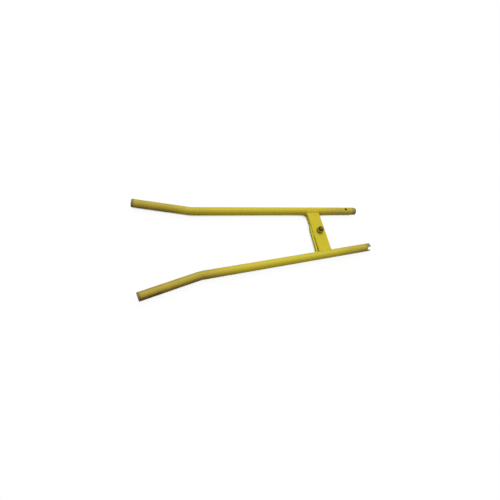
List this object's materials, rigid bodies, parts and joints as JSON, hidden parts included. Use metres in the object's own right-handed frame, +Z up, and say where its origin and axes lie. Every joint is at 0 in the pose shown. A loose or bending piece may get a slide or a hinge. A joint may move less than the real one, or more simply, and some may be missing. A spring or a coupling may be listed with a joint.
{
  "type": "beam trolley handle frame",
  "caption": "Welded push-handle frame for a beam trolley: two bent splayed tubes with notched tips, joined by a folded crossmember with a central bolt and nut.",
  "frame": {"origin": "centre of the footprint, on the floor that the tubes lie on", "axes": "+X along the frame from the hand ends to the notched tips, +Y towards the left tube (the one with the pin hole), +Z up, the side of the nut"},
  "size_m": [1.2354, 0.54, 0.0639],
  "materials": {
    "frame_paint": "satin yellow paint",
    "weld_paint": "painted weld bead",
    "dark_steel": "blackened steel, oiled",
    "zinc_steel": "dull zinc plate"
  },
  "bodies": {
    "frame": {"left_handle_tube": "frame_paint", "right_handle_tube": "frame_paint", "crossmember": "frame_paint", "stay_bar": "frame_paint", "top_washer": "zinc_steel", "left_top_weld": "weld_paint", "right_top_weld": "weld_paint", "left_rear_weld": "weld_paint", "left_front_weld": "weld_paint", "right_front_weld": "weld_paint", "stay_welds": "weld_paint"},
    "nut": {"centre_nut": "dark_steel"},
    "bolt": {"centre_bolt": "zinc_steel", "bottom_washer": "zinc_steel"}
  },
  "joints": [
    {"name": "nut_turn", "type": "hinge", "parent": "frame", "child": "nut", "pos_m": [0.3457, 0, 0.0399], "axis": [0, 0, 1], "range_deg": [0, 864]},
    {"name": "bolt_drop", "type": "slide", "parent": "frame", "child": "bolt", "axis": [0, 0, -1], "range_m": [0, 0.006]}
  ],
  "couplings": [
    {"joint": "nut_turn", "follows": "bolt_drop", "rad_per_m": 2513.3}
  ]
}
